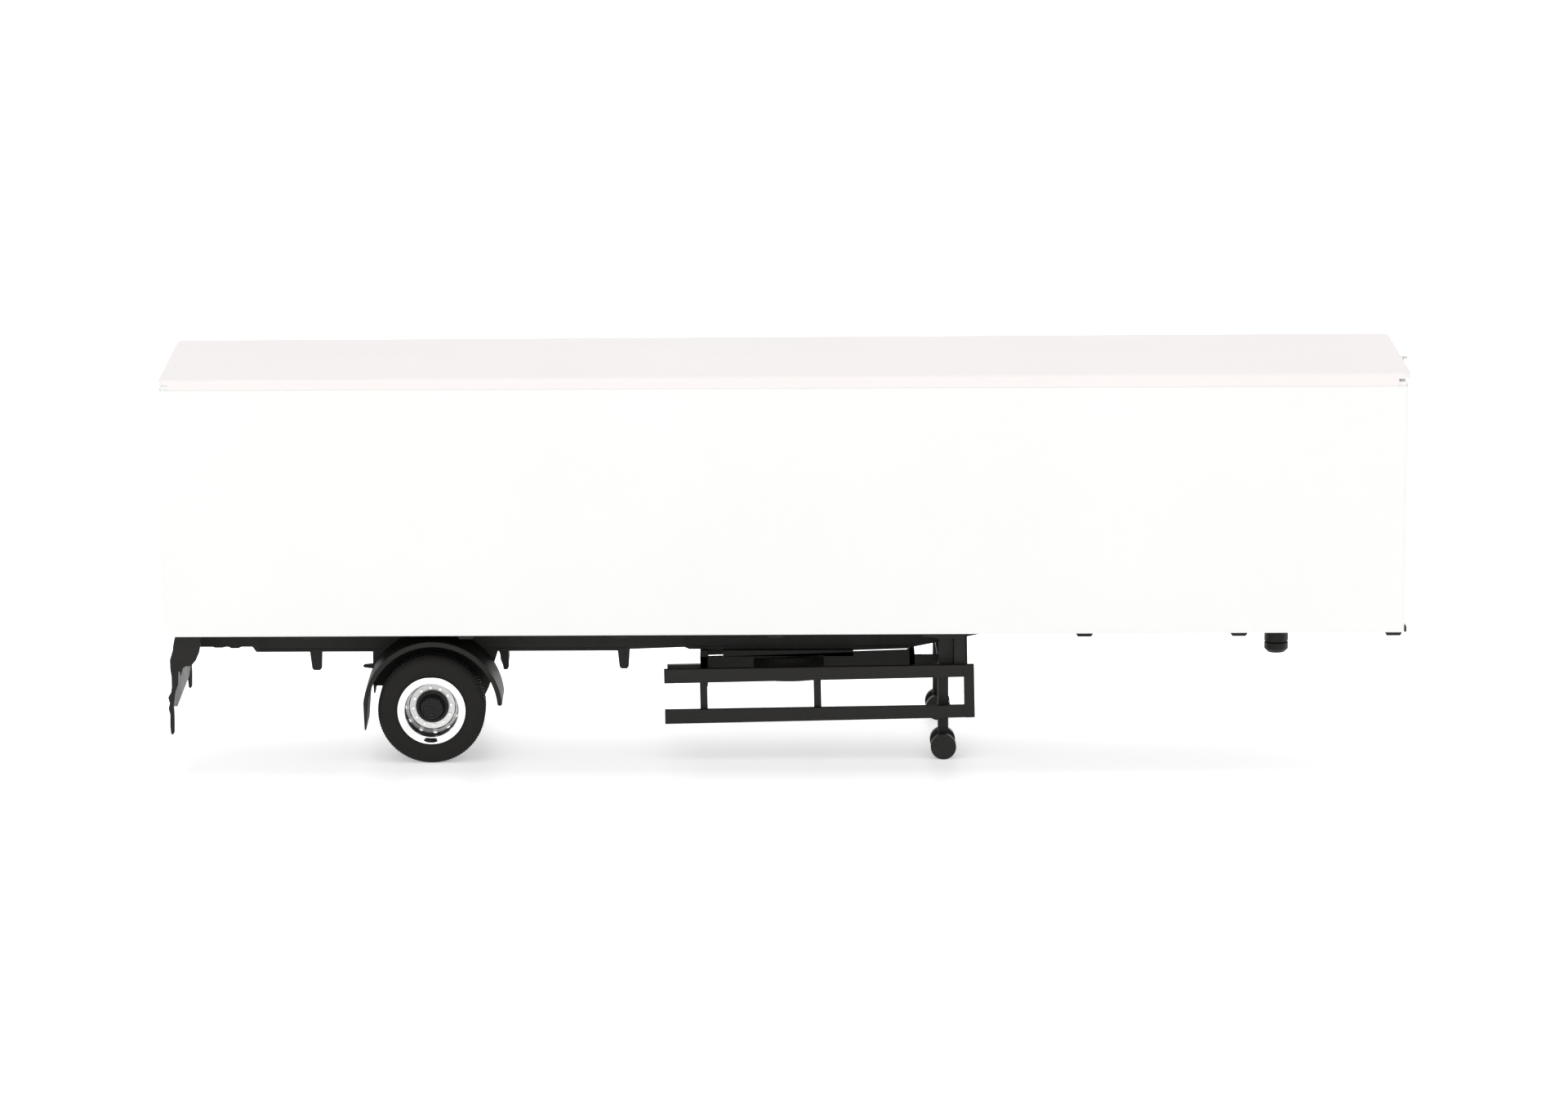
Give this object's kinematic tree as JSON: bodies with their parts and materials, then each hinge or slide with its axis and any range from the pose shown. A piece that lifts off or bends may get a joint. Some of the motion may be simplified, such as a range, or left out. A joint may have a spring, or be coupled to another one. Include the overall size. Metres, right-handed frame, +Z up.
{
  "type": "scale model box semi-trailer",
  "caption": "Small-scale plastic box semi-trailer with a plain white body, black chassis, turning wheels, side guards, spare wheel and landing legs.",
  "frame": {"origin": "on the ground, at the middle of the model's overall length and width", "axes": "+X forward to the kingpin, +Y to the trailer's left, +Z up"},
  "size_m": [0.144, 0.0294, 0.0453],
  "materials": {
    "body_white": "satin white moulding",
    "roof_white": "satin white moulding",
    "chassis_black": "satin black moulding",
    "tyre_black": "matt black",
    "hub_black": "satin black",
    "rim_chrome": "plated bright"
  },
  "bodies": {
    "chassis": {"side_wall_right": "body_white", "side_wall_left": "body_white", "front_wall": "body_white", "rear_wall": "body_white", "roof_lid": "roof_white", "cargo_deck": "chassis_black", "end_cap_rear": "chassis_black", "end_cap_front": "chassis_black", "front_clip": "chassis_black", "chassis_rail_right": "chassis_black", "chassis_rail_left": "chassis_black", "cross_slats": "chassis_black", "kingpin_plate": "chassis_black", "kingpin": "chassis_black", "suspension_block": "chassis_black", "mudguard_right": "chassis_black", "mudguard_left": "chassis_black", "side_guard_right": "chassis_black", "side_guard_left": "chassis_black", "spare_carrier": "chassis_black", "spare_tyre": "tyre_black", "spare_rim": "chassis_black", "landing_leg_right": "chassis_black", "landing_leg_left": "chassis_black", "leg_bracket_right": "chassis_black", "leg_bracket_left": "chassis_black", "rear_support_right": "chassis_black", "rear_support_left": "chassis_black", "underride_bar": "chassis_black", "lamp_board": "chassis_black"},
    "wheelset": {"axle_shaft": "chassis_black", "tyre_right": "tyre_black", "tyre_left": "tyre_black", "wheel_rim_right": "rim_chrome", "wheel_rim_left": "rim_chrome", "hub_right": "hub_black", "hub_left": "hub_black"}
  },
  "joints": [
    {"name": "wheel_spin", "type": "hinge", "parent": "chassis", "child": "wheelset", "pos_m": [-0.04126, 0, 0.00619], "axis": [0, 1, 0], "continuous": true}
  ]
}
